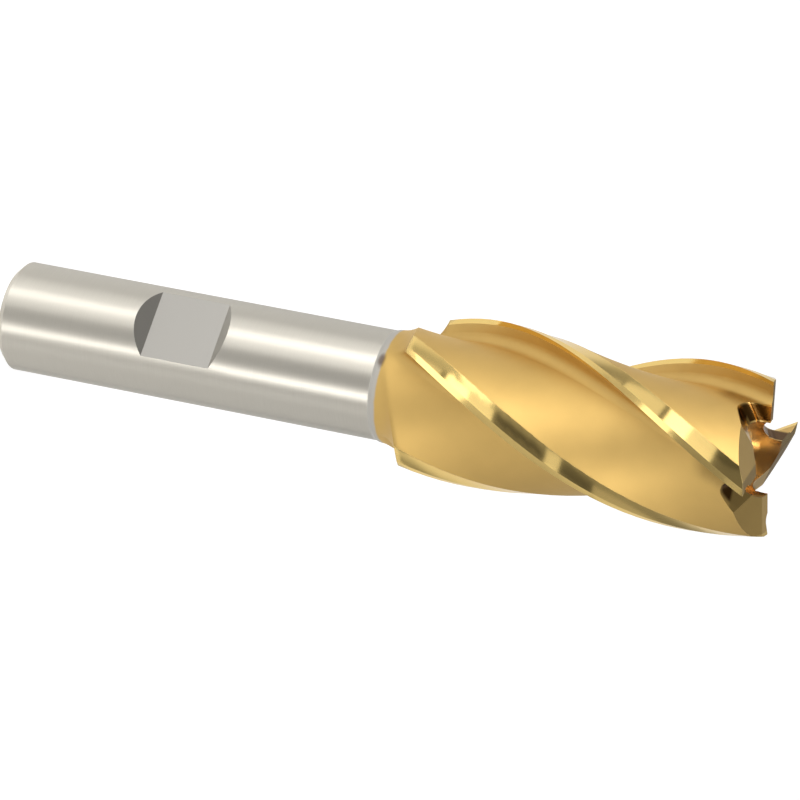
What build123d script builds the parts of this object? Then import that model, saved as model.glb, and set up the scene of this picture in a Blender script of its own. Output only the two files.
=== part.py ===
"""Square end mill with four right-hand flutes and a flatted shank, standing on its shank end."""
import os
from math import asin, cos, degrees, pi, radians, sin, tan

from build123d import *
from build123d.topology import SkipClean

# Whole tool, from the rear face of the shank (z = 0) to the cutting end
overall_length = 92.075
flute_length = 41.275

# Shank
shank_diameter = 12.7
shank_chamfer = 0.8
flat_across = 11.18
flat_length = 8.38
flat_centre = 22.6
flat_wall_angle = 45
flat_clearance = 1.2

# Fluted head
cutter_diameter = 19.05
neck_cone_length = 0.4
shoulder_height = 3.9
flute_count = 4
helix_angle = 30.2
core_diameter = 13
first_edge_azimuth = 51.5

# Section of a tooth, from its cutting edge backwards
rake_angle = 12
primary_land = 0.8
primary_relief = 8
secondary_land = 2.05
secondary_relief = 24.5
back_relief = 44
back_radius = 13
back_sweep = 52
gullet_radius = 1.2
rake_depth = 4.5

# Cutting end
dish_angle = 2
end_primary_width = 1.4
end_primary_relief = 7
end_secondary_relief = 22
end_relief_gap = 0.1
gash_depth_at_centre = 0.8
gash_floor_angle = 28
gash_far_wall_slope = 20
gash_corner_radius = 1.5
centre_hole_diameter = 8.8
centre_hole_depth = 3.2
centre_cone_angle = 60
centre_cone_diameter = 6

shank_radius = shank_diameter / 2
cutter_radius = cutter_diameter / 2
core_radius = core_diameter / 2
shoulder_top = overall_length - flute_length
shoulder_bottom = shoulder_top - shoulder_height
shoulder_width = cutter_radius - core_radius
shoulder_radius = (shoulder_width**2 + shoulder_height**2) / (2 * shoulder_width)
shoulder_sweep = degrees(asin(shoulder_height / shoulder_radius))
neck_bottom = shoulder_bottom - neck_cone_length
flat_depth = shank_diameter - flat_across
margin = 3

# Head starts inside the solid shank, below the shoulder
head_bottom = neck_bottom - margin
head_length = overall_length - head_bottom
lead = pi * cutter_diameter / tan(radians(helix_angle))
head_twist = 360 * head_length / lead

# Space of one flute: lands and curved back of one tooth, up to the rake face of the next
with BuildSketch() as flute_section:
    with BuildLine():
        primary = PolarLine((cutter_radius, 0), primary_land, -90 - primary_relief)
        secondary = PolarLine(primary @ 1, secondary_land, -90 - secondary_relief)
        back_direction = radians(-90 - back_relief)
        back = JernArc(secondary @ 1, (cos(back_direction), sin(back_direction)), back_radius, -back_sweep)
        Polyline(
            back @ 1,
            (-cutter_radius, -cutter_radius - margin),
            (cutter_radius + margin, -cutter_radius - margin),
            (cutter_radius + margin, 0),
            (cutter_radius, 0),
        )
    make_face()
    with BuildLine():
        rake = PolarLine((0, -cutter_radius), rake_depth, 90 + rake_angle)
        Polyline(
            rake @ 1,
            (-cutter_diameter, 0),
            (-cutter_diameter, -cutter_diameter),
            (0, -cutter_diameter),
            (0, -cutter_radius),
        )
    make_face(mode=Mode.SUBTRACT)
    fillet(flute_section.vertices().sort_by_distance((0, 0, 0))[0], gullet_radius)

with BuildSketch() as tooth_section:
    Circle(cutter_radius)
    with PolarLocations(0, flute_count):
        add(flute_section.sketch, mode=Mode.SUBTRACT)

# Section wound along the helix, with one cutting edge ending on +X
twisted_teeth = Solid.extrude_linear_with_rotation(
    tooth_section.face().rotate(Axis.Z, -head_twist).moved(Location((0, 0, head_bottom))),
    center=(0, 0, head_bottom),
    normal=(0, 0, head_length),
    angle=head_twist,
)

# Fluted head: teeth trimmed to the turned blank, whose neck is as thick as the core
with BuildPart() as head:
    add(twisted_teeth)
    with BuildSketch(Plane.XZ):
        with BuildLine():
            shoulder = JernArc((core_radius, shoulder_bottom), (0, 1), shoulder_radius, -shoulder_sweep)
            Polyline(
                shoulder @ 1,
                (cutter_radius, overall_length),
                (0, overall_length),
                (0, head_bottom),
                (shank_radius, head_bottom),
                (shank_radius, neck_bottom),
                (core_radius, shoulder_bottom),
            )
        make_face()
    revolve(axis=Axis.Z, mode=Mode.INTERSECT)

# Relief of one end tooth: two planes that fall away behind the dished end edge, short of the next tooth
with BuildPart() as end_relief:
    end_edge = Plane(
        origin=(cutter_radius, 0, overall_length),
        x_dir=(0, -1, 0),
        z_dir=(-cos(radians(dish_angle)), 0, -sin(radians(dish_angle))),
    )
    primary_drop = end_primary_width * tan(radians(end_primary_relief))
    secondary_width = cutter_radius + margin - end_primary_width
    secondary_drop = secondary_width * tan(radians(end_secondary_relief))
    with BuildSketch(end_edge):
        with BuildLine():
            Polyline(
                (0, 0),
                (end_primary_width, -primary_drop),
                (end_primary_width + secondary_width, -primary_drop - secondary_drop),
                (end_primary_width + secondary_width, margin),
                (0, margin),
                close=True,
            )
        make_face()
    extrude(amount=cutter_radius / cos(radians(dish_angle)))
    extrude(faces().sort_by(Axis.X)[-1], amount=margin)
    split(bisect_by=Plane.YZ.offset(end_relief_gap), keep=Keep.TOP)

# Gash in front of one end tooth: upright face wall, long far wall, floor falling outwards
with BuildPart() as gash:
    gash_floor = Plane(
        origin=(0, 0, overall_length - gash_depth_at_centre),
        x_dir=(0, 1, 0),
        z_dir=(cos(radians(gash_floor_angle)), 0, -sin(radians(gash_floor_angle))),
    )
    gash_height = cutter_diameter / 2
    gash_width = gash_height / tan(radians(gash_far_wall_slope))
    with BuildSketch(gash_floor):
        with BuildLine():
            Polyline(
                (0, 0),
                (gash_width, gash_height),
                (0, gash_height),
                close=True,
            )
        make_face()
        fillet(vertices().sort_by(Axis.Y)[0], gash_corner_radius)
    extrude(amount=cutter_diameter)

# Rear length of the shank, parted just in front of the flat
wall_run = flat_depth / tan(radians(flat_wall_angle))
rear_length = flat_centre + flat_length / 2 + wall_run + flat_clearance
with BuildPart() as rear_shank:
    Cylinder(shank_radius, rear_length, align=(Align.CENTER, Align.CENTER, Align.MIN))
    chamfer(rear_shank.faces().sort_by(Axis.Z)[0].edges(), shank_chamfer)
    # Flat for the clamping screw, with sloped end walls, facing -Y
    with BuildSketch(Plane.YZ.offset(-shank_radius)):
        with BuildLine():
            Polyline(
                (-shank_radius + flat_depth, flat_centre - flat_length / 2),
                (-shank_radius + flat_depth, flat_centre + flat_length / 2),
                (-shank_radius, flat_centre + flat_length / 2 + wall_run),
                (-shank_radius, flat_centre - flat_length / 2 - wall_run),
                close=True,
            )
        make_face()
    extrude(amount=shank_diameter, mode=Mode.SUBTRACT)

# Whole tool
with BuildPart() as end_mill:
    with Locations((0, 0, rear_length)):
        Cylinder(
            shank_radius,
            head_bottom + margin / 2 - rear_length,
            align=(Align.CENTER, Align.CENTER, Align.MIN),
        )
    add(head.part.rotate(Axis.Z, first_edge_azimuth))
    with PolarLocations(0, flute_count, start_angle=first_edge_azimuth):
        add(end_relief.part, mode=Mode.SUBTRACT)
        add(gash.part, mode=Mode.SUBTRACT)
    # Centre hole, which ends the teeth short of the axis
    with Locations((0, 0, overall_length)):
        Cylinder(centre_hole_diameter / 2, 2 * centre_hole_depth, mode=Mode.SUBTRACT)
    cone_depth = centre_cone_diameter / 2 / tan(radians(centre_cone_angle / 2))
    with Locations((0, 0, overall_length - centre_hole_depth)):
        Cone(
            0,
            centre_cone_diameter / 2,
            cone_depth,
            align=(Align.CENTER, Align.CENTER, Align.MAX),
            mode=Mode.SUBTRACT,
        )
    # The two lengths of the shank keep their own round faces
    with SkipClean():
        add(rear_shank.part)

end_mill.part.label = "end_mill"

os.makedirs("parts", exist_ok=True)
export_step(end_mill.part, "parts/end_mill.step")
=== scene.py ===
"""Looks of the square end mill: coated cutting head, ground steel shank, floor, lights and camera."""

import math

import bpy
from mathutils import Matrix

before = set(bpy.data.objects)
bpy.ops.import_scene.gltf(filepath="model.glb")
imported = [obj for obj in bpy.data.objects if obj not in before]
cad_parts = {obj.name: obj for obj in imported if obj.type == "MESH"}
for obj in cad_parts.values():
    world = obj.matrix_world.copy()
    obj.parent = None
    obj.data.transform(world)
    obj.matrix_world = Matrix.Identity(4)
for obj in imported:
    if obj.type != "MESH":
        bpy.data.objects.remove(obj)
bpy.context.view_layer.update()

# Where the ground surfaces lie, in metres up the tool's axis or out from it. Each pair runs from
# where a surface isn't yet there to where it is there in full, so some pairs run downwards. The
# crease between neck and flutes is rounded with the radius and samples given last.
NOTCH_FOOT = (0.0160, 0.0162)
NOTCH_HEAD = (0.0290, 0.0288)
FLAT_FACE_Y = -0.00483
FLAT_NEARNESS = (0.00003, 0.00002)
NECK_START = (0.0464, 0.04655)
COATING_START = (0.0473, 0.0476)
COATING_WANDER = 0.0002
TEETH_START = (0.0478, 0.0484)
LAND_RADIUS = (0.008947, 0.008987)
GASH_START = (0.0845, 0.0870)
GASH_INNER_RADIUS = (0.00450, 0.00465)
GASH_OUTER_RADIUS = (0.00680, 0.00630)
HOLE_START = (0.0800, 0.0805)
HOLE_RADIUS = (0.00455, 0.00440)
END_FACE_START = (0.0893, 0.0896)
CREASE_START = (0.0468, 0.0471)
CREASE_END = (0.0525, 0.0510)
CREASE_RADIUS = 0.0009
CREASE_SAMPLES = 6

# How far the surfaces are turned, as one part of their normal
END_FACE_UP = (0.75, 0.85)
NOTCH_FRONT = (-0.3, -0.4)
FLAT_FRONT = (-0.95, -0.98)
NOTCH_WALL_UP = 0.707
NOTCH_WALL_NEARNESS = (0.12, 0.08)
WALL_FACING_UP = (-0.1, 0.1)

# Painted shade: a dark spot at the coating's edge, for the hollow where the flutes run out: its middle, its
# reach in millimetres and its strength
SPOT_PLACE = (-0.0002, -0.00635, 0.0472)
SPOT_STRETCH = (1000.0, 1000.0, 2000.0)
SPOT_REACH = (1.5, 0.5)
SPOT_WANDER = 0.5
SPOT_STRENGTH = 0.8

# Turn of the flutes in radians for each metre, and the marks: how many there are to a metre, how far
# they are drawn out, how deep they are and how strongly they show
FLUTE_TURN = 61.1
FLUTE_MARKS = 9000.0
SHANK_MARKS = 16000.0
GRAIN_MARKS = 12000.0
CLOUD_MARKS = 260.0
BOUNDARY_MARKS = 900.0
ALONG_FLUTES = (1.0, 1.0, 0.05)
ROUND_SHANK = (0.02, 0.02, 1.0)
LINE_DETAIL = 3.0
GRAIN_DETAIL = 2.0
GRAIN_SHARE = 0.3
MARK_DEPTH = 0.00001
MARK_STRENGTH = 0.25
LAND_MARK_STRENGTH = 0.05

# Colours; the crevice, gash, hole, spot, flat and upward notch wall colours are painted shade
STEEL_DARK = (0.630, 0.598, 0.525)
STEEL_LIGHT = (0.714, 0.679, 0.602)
TURNED_STEEL = (0.504, 0.483, 0.441)
WALL_STEEL_DOWN = (0.540, 0.520, 0.475)
WALL_STEEL_UP_PAINTED_SHADE = (0.294, 0.280, 0.252)
FLAT_PAINTED_SHADE_STEEL = (0.497, 0.479, 0.441)
GOLD_DARK = (0.588, 0.393, 0.129)
GOLD_LIGHT = (0.686, 0.462, 0.154)
LAND_GOLD = (0.900, 0.645, 0.228)
CREVICE_PAINTED_SHADE = (0.420, 0.231, 0.059)
GASH_PAINTED_SHADE = (0.120, 0.057, 0.013)
HOLE_PAINTED_SHADE = (0.500, 0.330, 0.140)
SPOT_PAINTED_SHADE = (0.140, 0.090, 0.063)

# Roughness, and the stretch of the shank's gloss across its grinding marks: how strong it is, and the
# rise of its direction, which is far more than the shank's radius
SATIN_ROUGHNESS = (0.49, 0.57)
LAND_ROUGHNESS = 0.12
GASH_ROUGHNESS = 0.26
END_FACE_ROUGHNESS = 0.25
SHANK_ROUGHNESS = (0.42, 0.50)
TURNED_ROUGHNESS = 0.50
FLAT_ROUGHNESS = 0.32
WALL_ROUGHNESS = 0.30
SHANK_STRETCH = 0.95
STRETCH_RISE = 0.03

# Painted shade: the gold is darkened in crevices, where the space round a point is filled
CREVICE_REACH = 0.006
CREVICE_OPENNESS = (0.12, 0.68)
CREVICE_SAMPLES = 8

# Floor: its size and grey, the white added near the tool for the camera and for what metal mirrors, and
# the middle and edge of that area. Farther off, the camera sees plain white.
FLOOR_RADIUS = 4.0
FLOOR_CORNERS = 96
FLOOR_GREY = (0.40, 0.40, 0.40, 1.0)
FLOOR_GLOW = 0.77
MIRRORED_GLOW = 0.54
POOL_CENTRE = (-0.045, 0.111, 0.0)
POOL_EDGE = (0.46, 0.26)

# Light that the room itself gives
ROOM_LIGHT = 0.18

# Lamp that lies just over the floor: degrees above the camera in the picture, distance from the tool's
# axis, height, width, length and brightness
FLOOR_LAMP_ANGLE = 33
FLOOR_LAMP_DISTANCE = 0.36
FLOOR_LAMP_HEIGHT = 0.002
FLOOR_LAMP_WIDTH = 0.20
FLOOR_LAMP_LENGTH = 0.36
FLOOR_LAMP_BRIGHTNESS = 1.3

# Rows of lamps: distance from the tool's axis, height of a lamp's middle, and its upright length
UPPER_ROW = (0.6, 0.42, 0.34)
FOOT_ROW = (0.6, 0.08, 0.16)
LEFT_ROW = (0.7, 0.35, 0.40)
RIGHT_ROW = (0.7, 0.40, 0.40)
OUTER_FOOT_ROW = (0.7, 0.08, 0.16)
BACK_ROW = (0.8, 0.15, 0.30)
HIGH_BACK_ROW = (0.8, 0.85, 0.70)

# Lamps in those rows: name, row, degrees above the camera in the picture, width and brightness
SOFTBOXES = (
    ("key_softbox", UPPER_ROW, 49, 0.21, 11.0),
    ("key_foot", FOOT_ROW, 49, 0.21, 2.1),
    ("key_apron", UPPER_ROW, 27, 0.22, 3.9),
    ("key_apron_foot", FOOT_ROW, 28, 0.24, 0.93),
    ("side_softbox", UPPER_ROW, 76, 0.30, 3.7),
    ("side_foot", FOOT_ROW, 80, 0.36, 0.79),
    ("left_panel", LEFT_ROW, 120, 0.60, 0.68),
    ("left_foot", OUTER_FOOT_ROW, 122, 0.60, 0.71),
    ("left_back_panel", BACK_ROW, 162, 0.40, 0.71),
    ("narrow_softbox", UPPER_ROW, -33.5, 0.12, 21.0),
    ("narrow_foot", FOOT_ROW, -33.5, 0.12, 0.71),
    ("right_near_panel", RIGHT_ROW, -66, 0.24, 1.9),
    ("right_panel", RIGHT_ROW, -102, 0.60, 0.82),
    ("right_foot", OUTER_FOOT_ROW, -95, 0.80, 0.36),
    ("right_back_panel", BACK_ROW, -155, 0.50, 0.43),
    ("high_back_panel", HIGH_BACK_ROW, 180, 1.20, 0.39),
)

# Camera of the photograph, its direction round the tool in degrees, and its nearest and farthest view
CAMERA_PLACE = (0.20832, -0.51047, 0.24443)
CAMERA_TURN = (-0.48840, -1.18121, 2.47715)
CAMERA_LENS = 232.63
CAMERA_SENSOR = 36.0
CAMERA_SIDE = -67.8
CAMERA_CLIP = (0.01, 20.0)


# Node helpers

def new_material(name):
    material = bpy.data.materials.new(name)
    material.use_nodes = True
    return material, material.node_tree


def node(tree, kind, **values):
    made = tree.nodes.new(kind)
    for key, value in values.items():
        setattr(made, key, value)
    return made


def feed(tree, socket, source):
    """A link or a plain value into a socket."""
    if isinstance(source, bpy.types.NodeSocket):
        tree.links.new(source, socket)
    else:
        socket.default_value = source


def parts_of(tree, vector):
    made = node(tree, "ShaderNodeSeparateXYZ")
    feed(tree, made.inputs[0], vector)
    return made.outputs


def maths(tree, operation, first, second=0.0):
    made = node(tree, "ShaderNodeMath", operation=operation)
    feed(tree, made.inputs[0], first)
    feed(tree, made.inputs[1], second)
    return made.outputs[0]


def vector_maths(tree, operation, first, second=(0.0, 0.0, 0.0)):
    """Outputs of a vector operation: Vector, and Value where it gives a length."""
    made = node(tree, "ShaderNodeVectorMath", operation=operation)
    feed(tree, made.inputs[0], first)
    feed(tree, made.inputs[1], second)
    return made.outputs


def product(tree, *shares):
    """Values multiplied together, or the share that is there only where all of them are."""
    total = shares[0]
    for share in shares[1:]:
        total = maths(tree, "MULTIPLY", total, share)
    return total


def largest(tree, *shares):
    """Share that is there where any of them is."""
    total = shares[0]
    for share in shares[1:]:
        total = maths(tree, "MAXIMUM", total, share)
    return total


def rest_of(tree, share):
    return maths(tree, "SUBTRACT", 1.0, share)


def away_from(tree, value, middle):
    return maths(tree, "ABSOLUTE", maths(tree, "SUBTRACT", value, middle))


def step(tree, value, pair):
    """0 at the first value of the pair, 1 at its second, smooth between."""
    made = node(tree, "ShaderNodeMapRange", interpolation_type="SMOOTHSTEP")
    for socket, source in zip(made.inputs, (value, pair[0], pair[1], 0.0, 1.0)):
        feed(tree, socket, source)
    return made.outputs[0]


def mix_values(tree, share, first, second):
    made = node(tree, "ShaderNodeMix", data_type="FLOAT")
    feed(tree, made.inputs[0], share)
    feed(tree, made.inputs[2], first)
    feed(tree, made.inputs[3], second)
    return made.outputs[0]


def mix_normals(tree, share, first, second):
    made = node(tree, "ShaderNodeMix", data_type="VECTOR")
    feed(tree, made.inputs[0], share)
    feed(tree, made.inputs[4], first)
    feed(tree, made.inputs[5], second)
    return made.outputs[1]


def mix_colours(tree, share, first, second):
    made = node(tree, "ShaderNodeMix", data_type="RGBA")
    feed(tree, made.inputs[0], share)
    for socket, source in ((made.inputs[6], first), (made.inputs[7], second)):
        feed(tree, socket, source if isinstance(source, bpy.types.NodeSocket) else (*source, 1.0))
    return made.outputs[2]


def noise(tree, place, scale, detail):
    made = node(tree, "ShaderNodeTexNoise")
    feed(tree, made.inputs["Vector"], place)
    made.inputs["Scale"].default_value = scale
    made.inputs["Detail"].default_value = detail
    return made.outputs["Fac"]


# Finish of the tool

def ground_surfaces(tree, place, facing):
    """Share of each ground surface at a point, from 0 to 1, by the surface's name."""
    x, y, z = parts_of(tree, place)
    facing_y, facing_z = parts_of(tree, facing)[1:]
    radius = maths(tree, "SQRT", maths(tree, "ADD", product(tree, x, x), product(tree, y, y)))

    wander = maths(tree, "MULTIPLY", noise(tree, place, BOUNDARY_MARKS, LINE_DETAIL), COATING_WANDER)
    end_face = product(tree, step(tree, facing_z, END_FACE_UP), step(tree, z, END_FACE_START))
    gash_ring = product(tree, step(tree, radius, GASH_INNER_RADIUS), step(tree, radius, GASH_OUTER_RADIUS))
    in_notch = product(tree, step(tree, z, NOTCH_FOOT), step(tree, z, NOTCH_HEAD))
    in_notch = product(tree, in_notch, step(tree, facing_y, NOTCH_FRONT))
    off_flat = away_from(tree, y, FLAT_FACE_Y)
    off_slope = away_from(tree, maths(tree, "ABSOLUTE", facing_z), NOTCH_WALL_UP)
    return {
        "coated": step(tree, maths(tree, "ADD", z, wander), COATING_START),
        "turned": step(tree, z, NECK_START),
        "land": product(tree, step(tree, radius, LAND_RADIUS), step(tree, z, TEETH_START)),
        "end_face": end_face,
        "gash": product(tree, gash_ring, step(tree, z, GASH_START), rest_of(tree, end_face)),
        "hole": product(tree, step(tree, radius, HOLE_RADIUS), step(tree, z, HOLE_START)),
        "flat": product(
            tree, in_notch, step(tree, facing_y, FLAT_FRONT), step(tree, off_flat, FLAT_NEARNESS)
        ),
        "notch_wall": product(tree, in_notch, step(tree, off_slope, NOTCH_WALL_NEARNESS)),
        "facing_up": step(tree, facing_z, WALL_FACING_UP),
        "crease": product(tree, step(tree, z, CREASE_START), step(tree, z, CREASE_END)),
    }


def grinding_marks(tree, place):
    """Patterns from 0 to 1: wheel marks along the flutes and round the shank, fine grain, and clouds."""
    z = parts_of(tree, place)[2]
    wound = node(tree, "ShaderNodeVectorRotate", rotation_type="Z_AXIS")
    feed(tree, wound.inputs["Vector"], place)
    feed(tree, wound.inputs["Angle"], maths(tree, "MULTIPLY", z, -FLUTE_TURN))
    along_flutes = vector_maths(tree, "MULTIPLY", wound.outputs[0], ALONG_FLUTES)["Vector"]
    round_shank = vector_maths(tree, "MULTIPLY", place, ROUND_SHANK)["Vector"]
    return {
        "flutes": noise(tree, along_flutes, FLUTE_MARKS, LINE_DETAIL),
        "shank": noise(tree, round_shank, SHANK_MARKS, LINE_DETAIL),
        "grain": noise(tree, place, GRAIN_MARKS, GRAIN_DETAIL),
        "clouds": noise(tree, place, CLOUD_MARKS, LINE_DETAIL),
    }


def steel_colour(tree, on, marks):
    colour = mix_colours(tree, marks["shank"], STEEL_DARK, STEEL_LIGHT)
    colour = mix_colours(tree, on["turned"], colour, TURNED_STEEL)
    # Painted shade: the notch wall that faces up gets a darker copy of the steel than the one that faces
    # down
    wall = mix_colours(tree, on["facing_up"], WALL_STEEL_DOWN, WALL_STEEL_UP_PAINTED_SHADE)
    colour = mix_colours(tree, on["notch_wall"], colour, wall)
    # Painted shade: the flat gets a darker copy of the shank steel
    return mix_colours(tree, on["flat"], colour, FLAT_PAINTED_SHADE_STEEL)


def gold_colour(tree, on, marks):
    colour = mix_colours(tree, marks["clouds"], GOLD_DARK, GOLD_LIGHT)
    colour = mix_colours(tree, on["land"], colour, LAND_GOLD)
    # Painted shade: darker gold where the sampled space round a point is filled; the centre hole gets its
    # own painted shade instead
    space = node(tree, "ShaderNodeAmbientOcclusion", samples=CREVICE_SAMPLES, only_local=True)
    space.inputs["Distance"].default_value = CREVICE_REACH
    openness = largest(tree, step(tree, space.outputs["AO"], CREVICE_OPENNESS), on["hole"])
    colour = mix_colours(tree, openness, CREVICE_PAINTED_SHADE, colour)
    # Painted shade: the gash in front of each end tooth is made near-black brown
    colour = mix_colours(tree, on["gash"], colour, GASH_PAINTED_SHADE)
    # Painted shade: a darker brown inside the centre hole
    return mix_colours(tree, on["hole"], colour, HOLE_PAINTED_SHADE)


def painted_shade_spot(tree, place):
    """Share of the painted shade spot at the coating's edge, where the flutes run out."""
    from_middle = vector_maths(tree, "SUBTRACT", place, SPOT_PLACE)["Vector"]
    stretched = vector_maths(tree, "MULTIPLY", from_middle, SPOT_STRETCH)["Vector"]
    reach = vector_maths(tree, "LENGTH", stretched)["Value"]
    wander = maths(tree, "MULTIPLY", noise(tree, place, BOUNDARY_MARKS, LINE_DETAIL), SPOT_WANDER)
    spot = step(tree, maths(tree, "ADD", reach, wander), SPOT_REACH)
    return maths(tree, "MULTIPLY", spot, SPOT_STRENGTH)


def tool_roughness(tree, on, marks):
    gold = mix_values(tree, marks["grain"], *SATIN_ROUGHNESS)
    gold = mix_values(tree, on["land"], gold, LAND_ROUGHNESS)
    gold = mix_values(tree, largest(tree, on["gash"], on["hole"]), gold, GASH_ROUGHNESS)
    gold = mix_values(tree, on["end_face"], gold, END_FACE_ROUGHNESS)
    steel = mix_values(tree, marks["shank"], *SHANK_ROUGHNESS)
    steel = mix_values(tree, on["turned"], steel, TURNED_ROUGHNESS)
    steel = mix_values(tree, on["flat"], steel, FLAT_ROUGHNESS)
    steel = mix_values(tree, on["notch_wall"], steel, WALL_ROUGHNESS)
    return mix_values(tree, on["coated"], steel, gold)


def gloss_direction(tree, place):
    """Direction in which gloss is stretched: up the round wall, and away from the axis on the rear face."""
    x, y = parts_of(tree, place)[:2]
    made = node(tree, "ShaderNodeCombineXYZ")
    feed(tree, made.inputs[0], x)
    feed(tree, made.inputs[1], y)
    made.inputs[2].default_value = STRETCH_RISE
    return made.outputs[0]


def tool_normal(tree, on, marks):
    """Fine grinding relief, over a normal that rounds the crease between neck and flutes."""
    plain = node(tree, "ShaderNodeNewGeometry").outputs["Normal"]
    rounded = node(tree, "ShaderNodeBevel", samples=CREASE_SAMPLES)
    rounded.inputs["Radius"].default_value = CREASE_RADIUS
    gold = mix_values(tree, GRAIN_SHARE, marks["flutes"], marks["grain"])
    bump = node(tree, "ShaderNodeBump")
    feed(tree, bump.inputs["Height"], mix_values(tree, on["coated"], marks["shank"], gold))
    feed(tree, bump.inputs["Strength"], mix_values(tree, on["land"], MARK_STRENGTH, LAND_MARK_STRENGTH))
    feed(tree, bump.inputs["Normal"], mix_normals(tree, on["crease"], plain, rounded.outputs[0]))
    bump.inputs["Distance"].default_value = MARK_DEPTH
    return bump.outputs[0]


def ground_steel_and_gold_coating():
    material, tree = new_material("ground_steel_and_gold_coating")
    surface = tree.nodes["Principled BSDF"]
    coordinates = node(tree, "ShaderNodeTexCoord")
    place = coordinates.outputs["Object"]
    on = ground_surfaces(tree, place, coordinates.outputs["Normal"])
    marks = grinding_marks(tree, place)
    colour = mix_colours(tree, on["coated"], steel_colour(tree, on, marks), gold_colour(tree, on, marks))
    shank = rest_of(tree, largest(tree, on["flat"], on["notch_wall"], on["turned"]))
    # The painted shade spot at the coating's edge goes over the colour
    feed(tree, surface.inputs["Base Color"], mix_colours(tree, painted_shade_spot(tree, place), colour, SPOT_PAINTED_SHADE))
    feed(tree, surface.inputs["Metallic"], 1.0)
    feed(tree, surface.inputs["Roughness"], tool_roughness(tree, on, marks))
    feed(tree, surface.inputs["Anisotropic"], maths(tree, "MULTIPLY", shank, SHANK_STRETCH))
    feed(tree, surface.inputs["Tangent"], gloss_direction(tree, place))
    feed(tree, surface.inputs["Normal"], tool_normal(tree, on, marks))
    return material


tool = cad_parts["end_mill"]
tool.data.materials[0] = ground_steel_and_gold_coating()


# Floor and room

def pale_floor():
    """Matt grey that keeps the shadow, with white added where the camera or the metal sees it."""
    material, tree = new_material("pale_floor")
    surface = tree.nodes["Principled BSDF"]
    surface.inputs["Base Color"].default_value = FLOOR_GREY
    surface.inputs["Roughness"].default_value = 1.0
    surface.inputs["Specular IOR Level"].default_value = 0.0
    ray = node(tree, "ShaderNodeLightPath").outputs
    place = node(tree, "ShaderNodeTexCoord").outputs["Object"]
    pool = step(tree, vector_maths(tree, "DISTANCE", place, POOL_CENTRE)["Value"], POOL_EDGE)
    mirrored = maths(tree, "MULTIPLY", product(tree, ray["Is Glossy Ray"], pool), MIRRORED_GLOW)
    in_picture = largest(tree, ray["Is Camera Ray"], ray["Is Transmission Ray"])
    glow = node(tree, "ShaderNodeEmission")
    feed(
        tree,
        glow.inputs["Strength"],
        mix_values(tree, in_picture, mirrored, mix_values(tree, pool, 1.0, FLOOR_GLOW)),
    )
    both = node(tree, "ShaderNodeAddShader")
    feed(tree, both.inputs[0], surface.outputs[0])
    feed(tree, both.inputs[1], glow.outputs[0])
    feed(tree, tree.nodes["Material Output"].inputs["Surface"], both.outputs[0])
    return material


def white_room():
    """Dim grey room that looks white in the picture."""
    room = bpy.data.worlds.new("studio_room")
    room.use_nodes = True
    tree = room.node_tree
    backdrop = tree.nodes["Background"]
    backdrop.inputs["Color"].default_value = (1.0, 1.0, 1.0, 1.0)
    ray = node(tree, "ShaderNodeLightPath").outputs
    in_picture = largest(tree, ray["Is Camera Ray"], ray["Is Transmission Ray"])
    feed(tree, backdrop.inputs["Strength"], mix_values(tree, in_picture, ROOM_LIGHT, 1.0))
    return room


bpy.ops.mesh.primitive_circle_add(vertices=FLOOR_CORNERS, radius=FLOOR_RADIUS, fill_type="NGON")
floor = bpy.context.object
floor.name = "studio_floor"
floor.data.materials.append(pale_floor())
bpy.context.scene.world = white_room()


# Lamps

def side(angle):
    """Turn round the tool, in radians, of a lamp that many degrees above the camera in the picture."""
    return math.radians(CAMERA_SIDE - angle)


def panel_lamp(name, place, turn, width, length, brightness):
    """Flat lamp that the camera doesn't see. Its power grows with its size, for an even brightness."""
    bpy.ops.object.light_add(type="AREA", location=place)
    lamp = bpy.context.object
    lamp.name = name
    lamp.rotation_euler = turn
    lamp.data.shape = "RECTANGLE"
    lamp.data.size = width
    lamp.data.size_y = length
    lamp.data.energy = brightness * math.pi * width * length
    lamp.visible_camera = False


def softbox(name, row, angle, width, brightness):
    """Upright lamp in one of the rows, turned to the tool's axis."""
    distance, height, length = row
    turn = side(angle)
    place = (distance * math.cos(turn), distance * math.sin(turn), height)
    panel_lamp(name, place, (math.radians(90), 0, turn + math.radians(90)), width, length, brightness)


def floor_lamp():
    """Lamp just over the floor that faces up, its length away from the tool."""
    turn = side(FLOOR_LAMP_ANGLE)
    reach = FLOOR_LAMP_DISTANCE
    place = (reach * math.cos(turn), reach * math.sin(turn), FLOOR_LAMP_HEIGHT)
    facing_up = (math.radians(180), 0, turn)
    panel_lamp("floor_panel", place, facing_up, FLOOR_LAMP_LENGTH, FLOOR_LAMP_WIDTH, FLOOR_LAMP_BRIGHTNESS)


for values in SOFTBOXES:
    softbox(*values)
floor_lamp()

# Camera

bpy.ops.object.camera_add(location=CAMERA_PLACE, rotation=CAMERA_TURN)
camera = bpy.context.object
camera.name = "photo_camera"
camera.data.lens = CAMERA_LENS
camera.data.sensor_width = CAMERA_SENSOR
camera.data.clip_start, camera.data.clip_end = CAMERA_CLIP
bpy.context.scene.camera = camera

bpy.context.scene.view_settings.view_transform = "Standard"
